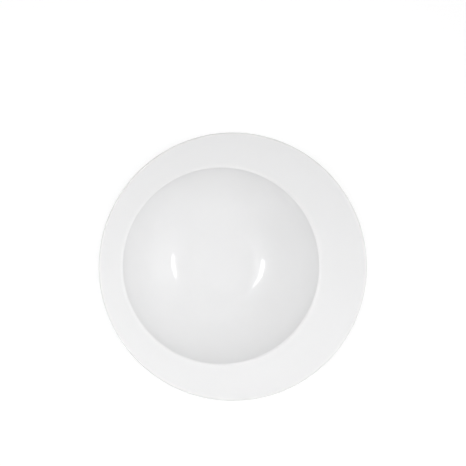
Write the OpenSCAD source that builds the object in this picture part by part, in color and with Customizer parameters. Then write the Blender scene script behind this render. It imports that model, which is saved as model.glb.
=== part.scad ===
// Rimmed soup plate: a deep round well set off centre in a broad, nearly flat rim.
// The origin is the centre of the lip circle on the table; Z is up and X points to the wide side of the rim.
// Well, shoulder and foot ring share the well axis; the lip has its own axis, so the rim is an oblique cone.

/* [Plate] */
// outer diameter over the lip
plate_d = 240; // [220:1:280]
// distance from the lip axis to the well axis
well_shift = 10.6; // [4:0.2:13]
// width of the rim where it is narrowest, from the edge of the lip to the centre of the shoulder section
narrow_w = 19.26; // [16.26:0.2:22.26]
// rise of the rim from the shoulder to the lip
rim_rise = 2.6; // [2:0.1:4]
// thickness of the rounded lip
lip_t = 3.3; // [2.8:0.1:4]

/* [Well] */
// section radius of the curve between the floor and the wall
low_r = 40; // [34:0.5:46]
// sine of the steepness at which that curve becomes the wall
low_sine_share = 0.28; // [0.24:0.01:0.34]
// section radius of the wall
wall_r = 75.5; // [72:0.5:78]
// sine of the steepness of the wall at the shoulder
wall_sine_share = 0.96; // [0.95:0.005:0.97]
// section radius of the rounded shoulder
shoulder_r = 2.5; // [1.8:0.1:3.2]
// thickness of the wall
wall_t = 3.7; // [3.2:0.1:4.2]
// thickness of the floor over the recess
floor_t = 4.2; // [3.8:0.1:5]

/* [Foot] */
// distance from the edge of the flat floor to the middle of the standing ring
foot_out = 16.8; // [10.8:0.5:20.8]
// width of the standing ring at the table
foot_w = 3.2; // [2.4:0.1:4.4]
// widening of each flank of the foot over the recess depth
foot_flare = 0.5; // [0.2:0.1:0.9]
// depth of the recess inside the foot ring
recess_h = 2.8; // [2.2:0.1:4]
// bevel along both edges of the standing ring
foot_bevel = 0.4; // [0.2:0.1:0.6]
// height of the unglazed band at the bottom of the foot
bare_h = 0.8; // [0.7:0.1:1.2]
// size of the sloped corner where the foot meets the underside
foot_root = 1.2; // [0.6:0.1:1.6]
// section radius of the hollow corner under the rim
root_r = 8; // [7.4:0.1:8.6]
// sine of the steepness at which the outer face of the wall meets that corner
root_sine_share = 0.936; // [0.93:0.002:0.94]

/* [Glaze] */
// thickness of the glaze
glaze_t = 0.3; // [0.2:0.05:0.4]

/* [Hidden] */
// facets around the plate and around a section circle
around_fn = 64;
section_fn = 120;
lip_fn = 28;
// height of the rim cones over each section circle, as a share of its radius
crown_share = 0.985;
// height up to which the section circles of shoulder and hollow corner are followed
reach_share = 0.98;
// how far the rim cones run on past their two circles, as shares of the rim width
in_share = 0.5;
out_share = 0.15;
// height of the rim block between the rim cone and the lip crown
block_share = 0.993;

// section circles on the well axis, from the shoulder inwards: wall, edge of the flat floor, standing ring
should_cr = plate_d / 2 - well_shift - narrow_w;
wall_cr = should_cr - (wall_r + shoulder_r) * wall_sine_share;
floor_r = wall_cr + (wall_r - low_r) * low_sine_share;
foot_r = floor_r + foot_out;

// heights of the same circles, from the floor upwards, and of the rim
floor_z = recess_h + floor_t;
low_cz = floor_z + low_r;
wall_cz = low_cz + (wall_r - low_r) * cosine(low_sine_share);
should_cz = wall_cz - (wall_r + shoulder_r) * cosine(wall_sine_share);
rim_in_z = should_cz + crown_share * shoulder_r;
rim_out_z = rim_in_z + rim_rise;

// centre of the hollow corner under the rim
root_cr = wall_cr + (wall_r + wall_t + root_r) * root_sine_share;
root_cz = wall_cz - (wall_r + wall_t + root_r) * cosine(root_sine_share);

// centre of the lip section on the lip axis
lip_r = lip_t / 2;
lip_cr = plate_d / 2 - lip_r;
lip_cz = rim_out_z - crown_share * lip_r;

// length by which cutting bodies run past the faces they cut
past = 2 * glaze_t;
// width of the bands that carry the arcs of the section
band_t = wall_t / 2;
// reach of the wedges that cut those bands, well past every section circle
far_r = 125;

body_color = [0.90, 0.88, 0.84];
glaze_color = [0.96, 0.96, 0.95];

function cosine(sine) = sqrt(1 - sine * sine);

// point of a section circle at which the section rises with the given sine
function on_bowl(c_r, c_z, r, sine) = [c_r + r * sine, c_z - r * cosine(sine)];

// half width of the foot at height z
function foot_half(z, inset) = foot_w / 2 + foot_flare * z / recess_h - inset;

// height of the outer face of the wall at radius r
function under_z(r, inset) = wall_cz - sqrt(pow(wall_r + wall_t - inset, 2) - pow(r - wall_cr, 2));

// part of a disc along its arc between two sines, a band_t wide
module bowl_band(c_r, c_z, r, s0, s1) {
    intersection() {
        translate([c_r, c_z]) circle(r = r, $fn = section_fn);
        polygon([on_bowl(c_r, c_z, r - band_t, s0), on_bowl(c_r, c_z, far_r, s0),
            on_bowl(c_r, c_z, far_r, s1), on_bowl(c_r, c_z, r - band_t, s1)]);
    }
}

// section of the room inside the well, up to the shoulder
module well_section(inset) {
    a_r = low_r + inset;
    b_r = wall_r + inset;
    s_r = shoulder_r - inset;
    top_z = should_cz + reach_share * s_r;
    difference() {
        polygon([[0, floor_z - inset], [floor_r, floor_z - inset],
            on_bowl(floor_r, low_cz, a_r, low_sine_share), on_bowl(wall_cr, wall_cz, b_r, wall_sine_share),
            [should_cr, should_cz], [should_cr, top_z], [0, top_z]]);
        translate([should_cr, should_cz]) circle(r = s_r, $fn = section_fn / 4);
    }
    bowl_band(floor_r, low_cz, a_r, 0, low_sine_share);
    bowl_band(wall_cr, wall_cz, b_r, low_sine_share, wall_sine_share);
}

// section of the whole outer form below the rim, filled, with the foot ring down to foot_z
module outer_section(inset, foot_z) {
    b_r = wall_r + wall_t - inset;
    u_r = root_r + inset;
    top_z = root_cz + reach_share * u_r;
    start_share = (foot_r - wall_cr) / b_r;
    difference() {
        polygon([[0, recess_h + inset], [foot_r, recess_h + inset], on_bowl(wall_cr, wall_cz, b_r, start_share),
            on_bowl(wall_cr, wall_cz, b_r, root_sine_share), [root_cr, root_cz], [root_cr, top_z], [0, top_z]]);
        translate([root_cr, root_cz]) circle(r = u_r, $fn = section_fn / 2);
    }
    bowl_band(wall_cr, wall_cz, b_r, start_share, root_sine_share);
    foot_section(inset, foot_z);
}

// section of the foot ring, running up into floor and wall; its lower edges are bevelled where it stands
module foot_section(inset, foot_z) {
    in_z = recess_h + inset - foot_root;
    out_z = under_z(foot_r + foot_w, inset) - foot_root;
    in_r = foot_r - foot_half(in_z, inset);
    out_r = foot_r + foot_half(out_z, inset);
    run = foot_w + foot_root;
    z_b = foot_z == 0 ? foot_bevel : foot_z;
    low_w = foot_half(z_b, inset);
    bottom = foot_z == 0 ? [[foot_r - low_w, z_b], [foot_r - low_w + z_b, 0], [foot_r + low_w - z_b, 0],
        [foot_r + low_w, z_b]] : [[foot_r - low_w, z_b], [foot_r + low_w, z_b]];
    polygon(concat(bottom, [[out_r, out_z], [out_r + run, out_z + run],
        [foot_r, under_z(foot_r, inset) + band_t],
        [in_r - 2 * foot_root, in_z + 2 * foot_root], [in_r, in_z]]));
}

// oblique cone through a circle on the well axis and a circle on the lip axis, from share s0 to share s1
module oblique_cone(in_r, in_z, out_r, out_z, s0, s1) {
    lean = well_shift / (out_z - in_z);
    z0 = in_z + (out_z - in_z) * s0;
    z1 = in_z + (out_z - in_z) * s1;
    translate([-well_shift * (1 - s0), 0, z0])
        multmatrix([[1, 0, lean, 0], [0, 1, 0, 0], [0, 0, 1, 0]])
            cylinder(r1 = in_r + (out_r - in_r) * s0, r2 = in_r + (out_r - in_r) * s1, h = z1 - z0,
                $fn = around_fn);
}

// solid bounded by the outer face of the plate, moved inwards by inset, without the room inside the well
module outer_form(inset, foot_z) {
    l_r = lip_r - inset;
    in_z = root_cz + crown_share * (root_r + inset);
    out_z = lip_cz - crown_share * l_r;
    top_z = lip_cz + block_share * l_r;
    cone_z = in_z - (out_z - in_z) * in_share;
    far_share = (top_z + lip_r - in_z) / (out_z - in_z);
    translate([-well_shift, 0, 0])
        rotate_extrude($fn = around_fn) outer_section(inset, foot_z);
    intersection() {
        translate([0, 0, cone_z - lip_r]) cylinder(r = lip_cr, h = top_z - cone_z + lip_r, $fn = around_fn);
        oblique_cone(root_cr, in_z, lip_cr, out_z, -in_share, far_share);
    }
    rotate_extrude($fn = around_fn)
        translate([lip_cr, lip_cz]) circle(r = l_r, $fn = lip_fn);
}

// room inside the well and over the rim, for faces moved by inset
module inner_form(inset) {
    in_z = should_cz + crown_share * (shoulder_r - inset);
    out_z = lip_cz + crown_share * (lip_r - inset);
    translate([-well_shift, 0, 0])
        rotate_extrude($fn = around_fn) well_section(inset);
    oblique_cone(should_cr, in_z, lip_cr, out_z, -in_share, 1 + out_share);
}

module plate_form(inset, foot_z) {
    difference() {
        outer_form(inset, foot_z);
        inner_form(inset);
    }
}

// fired body with floor, wall, shoulder, rim, lip and foot ring in one piece
module porcelain_body() {
    color(body_color) plate_form(glaze_t, 0);
}

// glaze over the well, the rim, the lip, the underside and the outer flank of the foot
module glaze_coat() {
    color(glaze_color)
        difference() {
            plate_form(0, bare_h);
            plate_form(glaze_t, -past);
            translate([-well_shift, 0, -past])
                cylinder(r = foot_r, h = past + recess_h + floor_t / 2, $fn = around_fn);
        }
}

// glaze inside the foot ring, parted from the rest by the bare standing ring
module foot_recess_glaze() {
    color(glaze_color)
        translate([-well_shift, 0, 0])
            rotate_extrude($fn = around_fn)
                difference() {
                    translate([0, bare_h]) square([foot_r, recess_h + glaze_t - bare_h]);
                    foot_section(glaze_t, -past);
                    difference() {
                        square([foot_r, recess_h]);
                        foot_section(0, -past);
                    }
                }
}

porcelain_body();
glaze_coat();
foot_recess_glaze();
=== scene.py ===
"""Rimmed soup plate: glazed porcelain skin, bare foot ring, plain studio."""

import math

import bpy
import numpy as np
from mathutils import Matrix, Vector


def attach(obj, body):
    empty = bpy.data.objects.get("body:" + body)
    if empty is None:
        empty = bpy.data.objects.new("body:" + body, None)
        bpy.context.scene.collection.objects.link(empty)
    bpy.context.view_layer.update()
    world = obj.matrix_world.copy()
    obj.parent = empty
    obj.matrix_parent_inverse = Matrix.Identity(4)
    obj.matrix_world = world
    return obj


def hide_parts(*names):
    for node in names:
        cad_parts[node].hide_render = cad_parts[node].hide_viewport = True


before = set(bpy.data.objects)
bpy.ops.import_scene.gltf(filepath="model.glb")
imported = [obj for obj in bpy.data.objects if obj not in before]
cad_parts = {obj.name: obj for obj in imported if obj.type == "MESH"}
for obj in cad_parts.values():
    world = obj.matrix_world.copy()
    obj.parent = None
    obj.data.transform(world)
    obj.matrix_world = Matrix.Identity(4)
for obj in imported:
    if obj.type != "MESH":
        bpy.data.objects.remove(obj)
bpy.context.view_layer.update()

MM = 0.001

# Sizes of the plate in millimetres, as in the CAD source; the sines are those of the steepness.
PLATE_R = 120.0
SHIFT = 10.6
RIM_RISE = 2.6
LIP_R = 1.65
FLOOR_R = 25.2
LOW_R = 40.0
LOW_SINE = 0.28
WALL_R = 75.5
WALL_SINE = 0.96
SHOULDER_R = 2.5
WALL_T = 3.7
FLOOR_T = 4.2
FOOT_R = 42.0
FOOT_W = 3.2
FOOT_FLARE = 0.5
FOOT_BEVEL = 0.4
RECESS_H = 2.8
BARE_H = 0.8
FOOT_ROOT = 1.2
ROOT_R = 8.0
ROOT_SINE = 0.936
GLAZE_T = 0.3
CROWN = 0.985

# Details in millimetres that only the visual model has.
# The lip stands this much lower than in the CAD source, so that the warped rim stays in its box.
LIP_DROP = 0.01
# The slight warp that a fired rim has: its waves (count around, phase, weight), its height, where
# it starts and over what distance it grows, the height above which it works, and how far the
# rim is lowered for it.
WARP_WAVES = ((2, 0.7, 1.0), (3, 2.1, 0.5))
WARP_H = 0.03
WARP_FROM = 80.0
WARP_OVER = 40.0
WARP_ABOVE = 20.0
WARP_DROP = 0.035
# Radius of the polygon that closes a round face in its middle.
HUB_R = 0.02
# How far the lower edge of the glaze is rounded, towards the ring's middle and upwards.
EDGE_IN = 0.08
EDGE_UP = 0.06
# Heights of the section rows on the flanks of the foot.
FLANK_TOP = 3.0
FLANK_MIDDLE = 1.6
FLANK_LOW = 1.05
FLANK_BISCUIT = 0.55
# The soft fillet outside the foot: its lower end is this far below the top of the flank and
# inside it, and its corner is this far outside it.
OUT_FILLET_DROP = 0.9
OUT_FILLET_IN = 0.1
OUT_CORNER = 0.05
# The soft fillet inside the foot: its end is this far past the sloped corner of the CAD
# source, and its corner is this far from the top of the flank, both towards the middle.
IN_FILLET_PAST = 0.2
IN_CORNER = 0.05
# Distance from the bevels to the ground middle of the standing ring.
GROUND_IN = 0.1

# How thick the glaze lies, for its colour: below 0 it is thin and painted lighter, above 0 it is
# pooled.
# the thin marks on the shoulder, the lip and under the lip are a painted highlight along these
# edges
SHOULDER_THIN_HIGHLIGHT = -0.35
LIP_THIN_HIGHLIGHT = -1.0
UNDER_LIP_THIN_HIGHLIGHT = -0.8
HOLLOW_POOL = 0.3
FLANK_LOW_POOL = 0.6
FOOT_POOL = 0.8
RECESS_POOL = 0.9
# Radius and width of the pool in the corner of the recess, in millimetres.
RECESS_POOL_R = 38.6
RECESS_POOL_W = 1.5
# The thin glaze and its painted highlight fade out over one part in this many of the rim line, on
# top and underneath.
TOP_FADE = 12
UNDER_FADE = 10

# Columns around the plate, and rows along each part of the section.
AROUND = 288
ANGLES = np.linspace(0, 2 * math.pi, AROUND, endpoint=False)
ROWS = {
    "floor": 12,
    "low": 16,
    "wall": 60,
    "shoulder": 16,
    "rim": 26,
    "lip": 24,
    "under": 18,
    "root": 16,
    "outer": 48,
}
BEVEL_ROWS = 7
GROUND_ROWS = 9
OUT_FILLET_ROWS = 9
IN_FILLET_ROWS = 8
RECESS_ROWS = 24


def on_slope(centre, length, sine):
    """Point at this distance from a centre, towards where the section rises with this sine."""
    return centre[0] + length * sine, centre[1] - length * math.sqrt(1 - sine * sine)


LOW_A, WALL_A, ROOT_A = (math.asin(sine) for sine in (LOW_SINE, WALL_SINE, ROOT_SINE))
FLOOR_Z = RECESS_H + FLOOR_T
LOW_C = (FLOOR_R, FLOOR_Z + LOW_R)
WALL_C = on_slope(LOW_C, LOW_R - WALL_R, LOW_SINE)
SHOULDER_C = on_slope(WALL_C, WALL_R + SHOULDER_R, WALL_SINE)
ROOT_C = on_slope(WALL_C, WALL_R + WALL_T + ROOT_R, ROOT_SINE)
LIP_C = (
    PLATE_R - LIP_R,
    SHOULDER_C[1] + CROWN * SHOULDER_R + RIM_RISE - CROWN * LIP_R - LIP_DROP,
)


def on_circle(centre, radius, a, side=1):
    """Point of a section circle where its steepness is a; side -1 is the crown of the circle."""
    return centre[0] + side * radius * math.sin(a), centre[1] - side * radius * math.cos(a)


def arc(centre, radius, a0, a1, n, side=1):
    """Points of a section circle between two angles, without the last one."""
    return [on_circle(centre, radius, a, side) for a in np.linspace(a0, a1, n)[:-1]]


def bend(start, corner, end, n):
    """Points of a soft curve from start to end that leans towards the corner."""
    points = []
    for t in np.linspace(0, 1, n):
        a, b, c = (1 - t) ** 2, 2 * t * (1 - t), t * t
        points.append(tuple(a * p + b * q + c * s for p, q, s in zip(start, corner, end)))
    return points


def rim_line(centre, radius, lip_radius, theta, side):
    """Steepness of the straight rim line at this angle around.

    It touches the shoulder (side 1) or the hollow corner (side -1), and the lip.
    """
    # a first guess, and enough rounds to settle it
    a = 0.08
    for _ in range(30):
        r0, z0 = on_circle(centre, radius, a, -1)
        r1, z1 = on_circle(LIP_C, lip_radius, a, -side)
        a = math.atan((z1 - z0) / (r1 - r0 + SHIFT * math.cos(theta)))
    return a


def foot_half(z, inset):
    """Half width of the foot at height z."""
    return FOOT_W / 2 + FOOT_FLARE * z / RECESS_H - inset


def foot_outer(inset):
    """Soft corner from the wall's outer face down to the outer flank of the foot."""
    wall = WALL_R + WALL_T - inset

    def wall_z(radius):
        return WALL_C[1] - math.sqrt(wall * wall - (radius - WALL_C[0]) ** 2)

    z = wall_z(FOOT_R + FOOT_W) - FOOT_ROOT
    r = FOOT_R + foot_half(z, inset)
    r_top = r + 2 * FOOT_ROOT
    z_top = wall_z(r_top)
    slope = (r_top - WALL_C[0]) / (WALL_C[1] - z_top)
    corner = (r + OUT_CORNER, z_top - (r_top - r) * slope)
    return bend((r_top, z_top), corner, (r - OUT_FILLET_IN, z - OUT_FILLET_DROP), OUT_FILLET_ROWS)


def foot_inner(inset):
    """Points up the inner flank of the foot and along the recess to the middle."""
    top = RECESS_H + inset
    z = top - FOOT_ROOT
    r = FOOT_R - foot_half(z, inset)
    end = (r - FOOT_ROOT - IN_FILLET_PAST, top)
    points = bend((r, z), (r - IN_CORNER, top), end, IN_FILLET_ROWS)
    return points + [(x, top) for x in np.linspace(r - 2 * FOOT_ROOT, HUB_R, RECESS_ROWS)]


def section(theta, inset, coarse):
    """Section from the middle of the well over the lip to the foot, at this angle around.

    The rows are (radius, height, share of the well axis, pool); coarse divides their number.
    """
    n = {part: max(3, count // coarse) for part, count in ROWS.items()}
    shoulder_r, lip_r, root_r = SHOULDER_R - inset, LIP_R - inset, ROOT_R + inset
    top_a = rim_line(SHOULDER_C, shoulder_r, lip_r, theta, 1)
    under_a = rim_line(ROOT_C, root_r, lip_r, theta, -1)
    outer_r = WALL_R + WALL_T - inset
    foot = foot_outer(inset)
    foot_a = math.asin((foot[0][0] - WALL_C[0]) / outer_r)
    rows = []

    def add(points, pool=0.0, share=1.0):
        """Points with a radius and a height that have the same pool and share."""
        rows.extend((r, z, share, pool) for r, z in points)

    def add_line(start, end, count, pool, fade):
        """Straight line whose ends have a radius, a height and a share; its pool fades out."""
        for t in np.linspace(0, 1, count)[:-1]:
            r, z, share = (p + (q - p) * t for p, q in zip(start, end))
            rows.append((r, z, share, pool * max(0.0, 1 - fade * t)))

    add([(max(r, HUB_R), FLOOR_Z - inset) for r in np.linspace(0, FLOOR_R, n["floor"])[:-1]])
    add(arc(LOW_C, LOW_R + inset, 0, LOW_A, n["low"]))
    add(arc(WALL_C, WALL_R + inset, LOW_A, WALL_A, n["wall"]))
    add(arc(SHOULDER_C, shoulder_r, WALL_A, top_a, n["shoulder"], -1), SHOULDER_THIN_HIGHLIGHT)
    add_line(
        (*on_circle(SHOULDER_C, shoulder_r, top_a, -1), 1.0),
        (*on_circle(LIP_C, lip_r, top_a, -1), 0.0),
        n["rim"],
        SHOULDER_THIN_HIGHLIGHT,
        TOP_FADE,
    )
    add(arc(LIP_C, lip_r, top_a, under_a - math.pi, n["lip"], -1), LIP_THIN_HIGHLIGHT, 0.0)
    add_line(
        (*on_circle(LIP_C, lip_r, under_a), 0.0),
        (*on_circle(ROOT_C, root_r, under_a, -1), 1.0),
        n["under"],
        UNDER_LIP_THIN_HIGHLIGHT,
        UNDER_FADE,
    )
    add(arc(ROOT_C, root_r, under_a, ROOT_A, n["root"], -1), HOLLOW_POOL)
    add(arc(WALL_C, outer_r, ROOT_A, foot_a, n["outer"]))
    add(foot, FOOT_POOL)
    return rows


def columns(inset, coarse, extra):
    """The section at every angle around, with the extra rows at its end."""
    return [section(theta, inset, coarse) + extra for theta in ANGLES]


def to_xyz(section_columns):
    """Vertices in metres and pools of the rows of all columns."""
    radius, height, share, pool = np.moveaxis(np.array(section_columns), 2, 0)
    x = radius * np.cos(ANGLES)[:, None] - SHIFT * share
    y = radius * np.sin(ANGLES)[:, None]
    waves = sum(weight * np.cos(count * ANGLES + phase) for count, phase, weight in WARP_WAVES)
    grown = np.clip((np.hypot(x, y) - WARP_FROM) / WARP_OVER, 0, 1)
    warp = WARP_H * grown**2 * waves[:, None]
    z = height + np.where(height > WARP_ABOVE, warp - WARP_DROP, 0)
    return np.stack([x, y, z], -1) * MM, pool


def ring_faces(rows, offset=0, flip=False):
    """Quads between neighbouring columns, for vertices stored column by column."""
    faces = []
    for j in range(AROUND):
        a, b = offset + j * rows, offset + ((j + 1) % AROUND) * rows
        for i in range(rows - 1):
            face = (a + i, a + i + 1, b + i + 1, b + i)
            faces.append(face[::-1] if flip else face)
    return faces


def ring(rows, i, offset=0):
    """Vertices all the way round, in row i of every column."""
    return tuple(offset + j * rows + i % rows for j in range(AROUND))


def link(name, data):
    """Puts a new object with this data into the scene."""
    ob = bpy.data.objects.new(name, data)
    bpy.context.scene.collection.objects.link(ob)
    return ob


def make(name, verts, faces, pools):
    """Smooth object that carries its pools as an attribute."""
    me = bpy.data.meshes.new(name)
    me.from_pydata([tuple(v) for v in verts], [], faces)
    me.validate()
    me.update()
    att = me.attributes.new("pool", "FLOAT", "POINT")
    att.data.foreach_set("value", np.asarray(pools, np.float32))
    me.shade_smooth()
    return link(name, me)


def skin(name, front, back, rim, hub):
    """Closed skin from the columns of its two faces.

    The faces are joined along their rows rim, and each is closed in the middle at its row hub.
    """
    outside, pool = to_xyz(front)
    inside, _ = to_xyz(back)
    n, m = outside.shape[1], inside.shape[1]
    first = AROUND * n
    a, b = ring(n, rim), ring(m, rim, first)
    closing = list(zip(a, b, b[1:] + b[:1], a[1:] + a[:1]))
    closing += [ring(n, hub), ring(m, hub, first)[::-1]]
    # columns that start at the rim run the other way
    if rim == 0:
        closing = [face[::-1] for face in closing]
    faces = ring_faces(n) + ring_faces(m, first, flip=True) + closing
    verts = np.concatenate([outside.reshape(-1, 3), inside.reshape(-1, 3)])
    return make(name, verts, faces, np.concatenate([pool.ravel(), np.zeros(AROUND * m)]))


def glaze_coat():
    """Closed skin over the well, rim, lip, underside and the outer flank of the foot."""
    flank = (
        (FLANK_TOP, HOLLOW_POOL),
        (FLANK_MIDDLE, HOLLOW_POOL),
        (FLANK_LOW, FLANK_LOW_POOL),
        (BARE_H + EDGE_UP, FOOT_POOL),
    )
    low_out = [(FOOT_R + foot_half(z, 0), z, 1.0, pool) for z, pool in flank]
    low_out.append((FOOT_R + foot_half(BARE_H, 0) - EDGE_IN, BARE_H, 1.0, FOOT_POOL))
    low_in = [(FOOT_R + foot_half(z, GLAZE_T), z, 1.0, 0.0) for z in (FLANK_TOP, BARE_H)]
    front, back = columns(0, 1, low_out), columns(GLAZE_T, 2, low_in)
    return skin("glaze_over_top_and_underside", front, back, rim=-1, hub=0)


def recess_glaze():
    """Closed skin inside the foot ring."""
    edge_r = FOOT_R - foot_half(BARE_H, 0)
    front = [(edge_r + EDGE_IN, BARE_H, 1, FOOT_POOL), (edge_r, BARE_H + EDGE_UP, 1, FOOT_POOL)]
    for r, z in foot_inner(0):
        pool = RECESS_POOL * math.exp(-(((RECESS_POOL_R - r) / RECESS_POOL_W) ** 2))
        front.append((r, z, 1, pool))
    back = [(FOOT_R - foot_half(BARE_H, GLAZE_T), BARE_H, 1, 0)]
    back += [(r, z, 1, 0) for r, z in foot_inner(GLAZE_T)]
    return skin("glaze_inside_foot_ring", [front] * AROUND, [back] * AROUND, rim=0, hub=-1)


def porcelain():
    """The fired body, seen only at the bare standing ring; its pool marks the ground part."""
    half = foot_half(FOOT_BEVEL, GLAZE_T) - FOOT_BEVEL
    bevel = [
        (half + FOOT_BEVEL * math.cos(t), FOOT_BEVEL - FOOT_BEVEL * math.sin(t))
        for t in np.linspace(0, math.pi / 2, BEVEL_ROWS)
    ]
    ground = half - GROUND_IN
    low = [(FOOT_R + foot_half(z, GLAZE_T), z) for z in (FLANK_TOP, BARE_H, FLANK_BISCUIT)]
    low += [(FOOT_R + x, z) for x, z in bevel]
    flat = [(r, 0.0) for r in np.linspace(FOOT_R + ground, FOOT_R - ground, GROUND_ROWS)]
    inner = [(FOOT_R - x, z) for x, z in reversed(bevel)]
    inner += [(FOOT_R - foot_half(z, GLAZE_T), z) for z in (FLANK_BISCUIT, BARE_H)]
    inner += foot_inner(GLAZE_T)
    extra = []
    for points, pool in ((low, 0.0), (flat, 1.0), (inner, 0.0)):
        extra += [(r, z, 1.0, pool) for r, z in points]
    verts, pool = to_xyz(columns(GLAZE_T, 3, extra))
    n = verts.shape[1]
    faces = ring_faces(n) + [ring(n, 0), ring(n, -1)[::-1]]
    return make("porcelain_body_with_foot", verts.reshape(-1, 3), faces, pool.ravel())


class Nodes:
    """Small helper to write the node tree of a material or of the world."""

    def __init__(self, owner, shader):
        owner.use_nodes = True
        self.tree = owner.node_tree
        self.shader = self.tree.nodes[shader]

    def add(self, kind, inputs=None, **props):
        node = self.tree.nodes.new(kind)
        for k, v in props.items():
            setattr(node, k, v)
        for k, v in (inputs or {}).items():
            self.put(node.inputs[k], v)
        return node

    def put(self, socket, value):
        if isinstance(value, bpy.types.NodeSocket):
            self.tree.links.new(value, socket)
        else:
            socket.default_value = value

    def shade(self, name, value):
        """Gives an input of the shader a value or a link."""
        self.put(self.shader.inputs[name], value)

    def math(self, op, a, b=0.0, c=0.0, clamp=False):
        node = self.add("ShaderNodeMath", {0: a, 1: b, 2: c}, operation=op, use_clamp=clamp)
        return node.outputs[0]

    def vector(self, op, *values):
        return self.add("ShaderNodeVectorMath", dict(enumerate(values)), operation=op)

    def mix(self, fac, a, b):
        """Mixed colour; sockets 6 and 7 and output 2 are the node's colours."""
        return self.add("ShaderNodeMix", {0: fac, 6: a, 7: b}, data_type="RGBA").outputs[2]

    def noise(self, vector, scale, detail=2.0, rough=0.5):
        inputs = {"Vector": vector, "Scale": scale, "Detail": detail, "Roughness": rough}
        return self.add("ShaderNodeTexNoise", inputs).outputs["Fac"]

    def bump(self, strength, distance, height):
        inputs = {"Strength": strength, "Distance": distance, "Height": height}
        self.shade("Normal", self.add("ShaderNodeBump", inputs).outputs[0])

    def from_well_axis(self, place):
        """The place measured from the well's axis instead of the lip's."""
        return self.vector("ADD", place, (SHIFT * MM, 0, 0)).outputs[0]


def new_material(name):
    """New material and the helper that writes its nodes."""
    material = bpy.data.materials.new(name)
    return material, Nodes(material, "Principled BSDF")


# The glaze: the two whites it clouds between, and its colours where it is pooled and thin, with
# what the pools are multiplied by to mix them in; the light thin colour is a painted highlight.
WHITES = (0.818, 0.818, 0.822, 1), (0.842, 0.842, 0.846, 1)
POOLED, POOLED_GAIN = (0.78, 0.79, 0.80, 1), 1.0
THIN_GLAZE_HIGHLIGHT, THIN_HIGHLIGHT_GAIN = (0.89, 0.886, 0.878, 1), -0.5
CLOUD_SHARE = 0.7
GLAZE_ROUGH, GLAZE_ROUGH_RANGE = 0.045, 0.02
GLAZE_IOR = 1.52
# Shares of its unevenness, its height in metres, and the turning lines' pitch and wander.
PEEL_SHARE, WAVE_SHARE, LINE_SHARE = 0.35, 1.6, 0.05
GLAZE_BUMP = 0.000012
LINE_PITCH, LINE_WANDER = 0.0045, 0.0012


def glaze_material():
    material, m = new_material("white_glaze")
    place = m.add("ShaderNodeTexCoord").outputs["Object"]
    # the pool attribute: above 0 pooled glaze, below 0 thin glaze with a painted highlight
    pool = m.add("ShaderNodeAttribute", attribute_name="pool").outputs["Fac"]
    cloud = m.noise(place, scale=14.0, detail=3.0)
    fine = m.noise(place, scale=90.0)
    tone = m.math("MULTIPLY_ADD", cloud, CLOUD_SHARE, m.math("MULTIPLY", fine, 1 - CLOUD_SHARE))
    white = m.mix(tone, *WHITES)
    # thick glaze in the hollow corners is faintly blue-grey; the thin-glazed edges are painted
    # lighter, a painted highlight
    deep = m.mix(m.math("MULTIPLY", pool, POOLED_GAIN, clamp=True), white, POOLED)
    m.shade("Base Color", m.mix(m.math("MULTIPLY", pool, THIN_HIGHLIGHT_GAIN, clamp=True), deep, THIN_GLAZE_HIGHLIGHT))
    smears = m.noise(place, scale=35.0, detail=3.0)
    m.shade("Roughness", m.math("MULTIPLY_ADD", smears, GLAZE_ROUGH_RANGE, GLAZE_ROUGH))
    m.shade("IOR", GLAZE_IOR)
    # glaze that has flowed: a soft orange peel with slow waves, and the turning lines of the body
    peel = m.noise(place, scale=420.0, detail=1.0)
    slow = m.noise(place, scale=60.0, detail=1.0)
    flat = m.vector("MULTIPLY", m.from_well_axis(place), (1, 1, 0)).outputs[0]
    radius = m.vector("LENGTH", flat).outputs["Value"]
    wander = m.math("MULTIPLY_ADD", m.noise(place, scale=20.0, detail=1.0), LINE_WANDER, radius)
    lines = m.math("SINE", m.math("MULTIPLY", wander, 2 * math.pi / LINE_PITCH))
    waves = m.math("MULTIPLY", slow, WAVE_SHARE)
    height = m.math("ADD", m.math("MULTIPLY", peel, PEEL_SHARE), waves)
    m.bump(1.0, GLAZE_BUMP, m.math("MULTIPLY_ADD", lines, LINE_SHARE, height))
    return material


# The bare ring: its two base colours, the colour of rubbed marks and how strongly they show.
BISCUITS = (0.80, 0.775, 0.735, 1), (0.87, 0.85, 0.815, 1)
RUBBED, RUBBED_SHARE = (0.56, 0.55, 0.53, 1), 0.6
# Grinding marks across and along the ring, and the contrast that picks out the strongest.
MARKS_ACROSS, MARKS_ALONG = 9000.0, 6.0
MARKS_GAIN, MARKS_OFFSET = 1.6, -0.75
BISCUIT_ROUGH, BISCUIT_ROUGH_RANGE = 0.5, 0.25
MARKS_SHARE, BISCUIT_BUMP, BISCUIT_BUMP_STRENGTH = 0.6, 0.00004, 0.7


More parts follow.
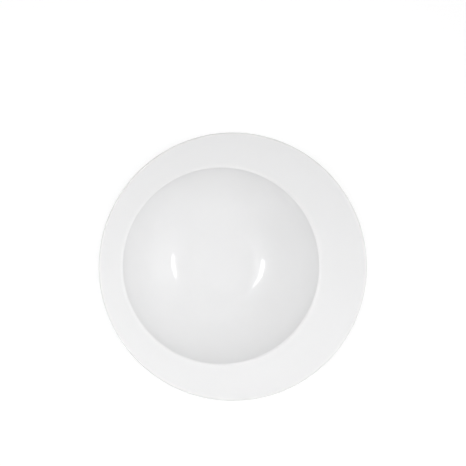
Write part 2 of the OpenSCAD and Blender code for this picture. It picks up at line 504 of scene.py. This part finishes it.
def biscuit_material():
    material, m = new_material("bare_fired_porcelain")
    place = m.add("ShaderNodeTexCoord").outputs["Object"]
    ground = m.add("ShaderNodeAttribute", attribute_name="pool").outputs["Fac"]
    x, y, _ = m.add("ShaderNodeSeparateXYZ", {0: m.from_well_axis(place)}).outputs
    radius = m.math("SQRT", m.math("ADD", m.math("POWER", x, 2.0), m.math("POWER", y, 2.0)))
    across = m.math("MULTIPLY", radius, MARKS_ACROSS)
    along = m.math("MULTIPLY", m.math("ARCTAN2", y, x), MARKS_ALONG)
    spread = m.add("ShaderNodeCombineXYZ", {0: across, 1: along}).outputs[0]
    marks = m.noise(spread, scale=1.0, detail=3.0, rough=0.7)
    grain = m.noise(place, scale=2600.0, detail=3.0, rough=0.7)
    base = m.mix(m.noise(place, scale=160.0, detail=4.0, rough=0.6), *BISCUITS)
    strong = m.math("MULTIPLY_ADD", marks, MARKS_GAIN, MARKS_OFFSET, clamp=True)
    rubbed = m.math("MULTIPLY", m.math("MULTIPLY", strong, ground), RUBBED_SHARE)
    m.shade("Base Color", m.mix(rubbed, base, RUBBED))
    m.shade("Roughness", m.math("MULTIPLY_ADD", grain, BISCUIT_ROUGH_RANGE, BISCUIT_ROUGH))
    height = m.math("MULTIPLY_ADD", marks, MARKS_SHARE, grain)
    m.bump(BISCUIT_BUMP_STRENGTH, BISCUIT_BUMP, height)
    return material


coat, recess, body = glaze_coat(), recess_glaze(), porcelain()
glaze = glaze_material()
coat.data.materials.append(glaze)
recess.data.materials.append(glaze)
body.data.materials.append(biscuit_material())
for piece, node in ((coat, "glaze_coat"), (recess, "foot_recess_glaze"), (body, "porcelain_body")):
    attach(piece, "root")
    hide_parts(node)

# Studio. The photograph looks straight down; its frame is turned a little against the plate's
# mirror plane. Its side, the plate in it and its middle from the lip's centre are in pixels,
# the sensor is in millimetres, and the other lengths are in metres.
PHOTO_SIDE = 466
PLATE_ACROSS = 268.7
VIEW_RIGHT, VIEW_UP = 0.2, 33.7
PIXEL = 2 * PLATE_R * MM / PLATE_ACROSS
ROLL = math.radians(4.3)
CAM_H = 1.6
RIM_Z = 0.064
SENSOR = 36


def in_frame(x, y):
    """Turns a direction in the photograph's frame (right, up) into the row's X and Y."""
    return x * math.cos(ROLL) - y * math.sin(ROLL), x * math.sin(ROLL) + y * math.cos(ROLL)


def direction(azimuth, elevation):
    """Unit vector from an azimuth in the photograph's frame and an elevation, in degrees."""
    a, e = math.radians(azimuth), math.radians(elevation)
    return Vector((*in_frame(math.cos(a) * math.cos(e), math.sin(a) * math.cos(e)), math.sin(e)))


cam_data = bpy.data.cameras.new("camera")
cam_data.sensor_width = SENSOR
cam_data.lens = SENSOR * CAM_H / (PHOTO_SIDE * PIXEL)
camera = link("camera", cam_data)
camera.location = (*in_frame(VIEW_RIGHT * PIXEL, VIEW_UP * PIXEL), CAM_H + RIM_Z)
camera.rotation_euler = (0, 0, ROLL)
bpy.context.scene.camera = camera

# Three long lamps that show in the glaze as the two crescents. All tables of lamps give azimuth
# in the frame, elevation, distance, width, height, turn and watts.
LAMPS = {
    "lamp_right": (-0.3, 48.1, 1.2, 0.42, 0.125, 12, 0.95),
    "lamp_left": (176.3, 57.2, 1.2, 0.31, 0.145, -11, 0.9),
    "lamp_left_end": (157.5, 60.5, 1.2, 0.27, 0.11, -33, 0.5),
}
# Large dim screens that only the reflections show
SCREENS = {
    "screen_left": (178, 60, 1.2, 1.2, 0.7, 0, 1.2),
    "screen_left_core": (180, 69, 1.2, 0.55, 0.32, 0, 0.36),
    "screen_back": (88, 45, 1.2, 0.8, 0.5, 0, 0.45),
    "screen_front": (250, 66, 1.2, 0.7, 0.4, 0, 0.34),
}
# Diffused fill lamps, kept out of the reflections
FILLS = {
    "fill_top": (0, 90, 0.6, 0.3, 0.3, 0, 1.01),
    "fill_back": (90, 35, 0.7, 0.5, 0.3, 0, 0.2),
}
# Height of the point in the well that all of them are aimed at
AIM_Z = 0.03
# A wide soft spot over the plate: watts, cone in degrees, softness of the cone's edge, size,
# height, and how far below the plate's centre, as the photograph shows it, it is aimed
SPOT_WATTS, SPOT_CONE, SPOT_BLEND, SPOT_SIZE = 4.13, 96, 0.9, 0.12
SPOT_Z, SPOT_AIM = 0.65, 0.30


def add_light(data, location, toward):
    """Links a light that shines from location along -toward."""
    ob = link(data.name, data)
    ob.location = location
    ob.rotation_euler = toward.to_track_quat("Z", "Y").to_euler()
    return ob


def lamp(name, azimuth, elevation, distance, width, height, turn, watts):
    """Area lamp aimed at the well, turned about its own axis."""
    data = bpy.data.lights.new(name, "AREA")
    data.shape, data.size, data.size_y, data.energy = "ELLIPSE", width, height, watts
    d = direction(azimuth, elevation)
    ob = add_light(data, Vector((-SHIFT * MM, 0, AIM_Z)) + d * distance, d)
    ob.rotation_euler.rotate_axis("Z", math.radians(turn))
    return ob


for name, values in LAMPS.items():
    lamp(name, *values)
for name, values in SCREENS.items():
    lamp(name, *values).visible_diffuse = False
for name, values in FILLS.items():
    fill = lamp(name, *values)
    fill.data.shape = "RECTANGLE"
    fill.visible_glossy = False

# the spot leaves the far side of the rim a little darker, as in the photograph
spot_data = bpy.data.lights.new("spot_front", "SPOT")
spot_data.energy, spot_data.spot_size = SPOT_WATTS, math.radians(SPOT_CONE)
spot_data.spot_blend, spot_data.shadow_soft_size = SPOT_BLEND, SPOT_SIZE
spot_toward = Vector((*in_frame(0, SPOT_AIM), SPOT_Z))
add_light(spot_data, Vector((0, 0, SPOT_Z)), spot_toward).visible_glossy = False

# Light of the room: an even part, a band along the horizon with its sharpness, and soft lobes
# (azimuth in the frame, elevation, sharpness, flatness, strength)
ROOM = 0.05
HORIZON = 0.2
BAND = 30
LOBES = [
    (90, 30, 8, 0, 0.33),
    (270, 30, 8, 0, 1.01),
    (0, 30, 8, 0, 1.33),
    (180, 30, 8, 0, 0.70),
    (150, 0, 3, BAND, 0.65),
    (195, 0, 3, BAND, 0.4),
    (330, 0, 3, BAND, 0.3),
]


def room():
    """World light made of the even part, the band along the horizon and the soft lobes."""
    world = bpy.data.worlds.new("studio")
    bpy.context.scene.world = world
    m = Nodes(world, "Background")
    sky = m.add("ShaderNodeTexCoord").outputs["Generated"]
    up = m.add("ShaderNodeSeparateXYZ", {0: sky}).outputs["Z"]
    level = m.math("SUBTRACT", 1.0, m.math("POWER", m.math("ABSOLUTE", up), 2.0))
    total = m.math("ADD", ROOM, m.math("MULTIPLY", m.math("POWER", level, BAND), HORIZON))
    for azimuth, elevation, sharp, flat, strength in LOBES:
        dot = m.vector("DOT_PRODUCT", sky, direction(azimuth, elevation)).outputs["Value"]
        lobe = m.math("POWER", m.math("MAXIMUM", dot, 0.0), sharp)
        if flat:
            lobe = m.math("MULTIPLY", lobe, m.math("POWER", level, flat))
        total = m.math("ADD", total, m.math("MULTIPLY", lobe, strength))
    m.shade("Color", (1, 1, 1, 1))
    m.shade("Strength", total)


room()

# The table: half its side, its two greys, and its own glow, because the photograph's
# background is pure white right up to the lip.
TABLE_HALF = 3
TABLE_GREYS = (0.43, 0.43, 0.43, 1), (0.45, 0.45, 0.45, 1)
TABLE_GLOW = 0.67


def table_material():
    material, m = new_material("pale_table")
    place = m.add("ShaderNodeTexCoord").outputs["Object"]
    m.shade("Base Color", m.mix(m.noise(place, scale=3.0, detail=3.0), *TABLE_GREYS))
    m.shade("Roughness", 0.9)
    m.shade("Specular IOR Level", 0.2)
    m.shade("Emission Color", (1, 1, 1, 1))
    m.shade("Emission Strength", TABLE_GLOW)
    return material


table_mesh = bpy.data.meshes.new("table")
corners = [(x * TABLE_HALF, y * TABLE_HALF, 0) for x, y in ((-1, -1), (1, -1), (1, 1), (-1, 1))]
table_mesh.from_pydata(corners, [], [(0, 1, 2, 3)])
table_mesh.materials.append(table_material())
table = link("table", table_mesh)

bpy.context.scene.view_settings.view_transform = "Standard"
bpy.context.scene.view_settings.look = "None"
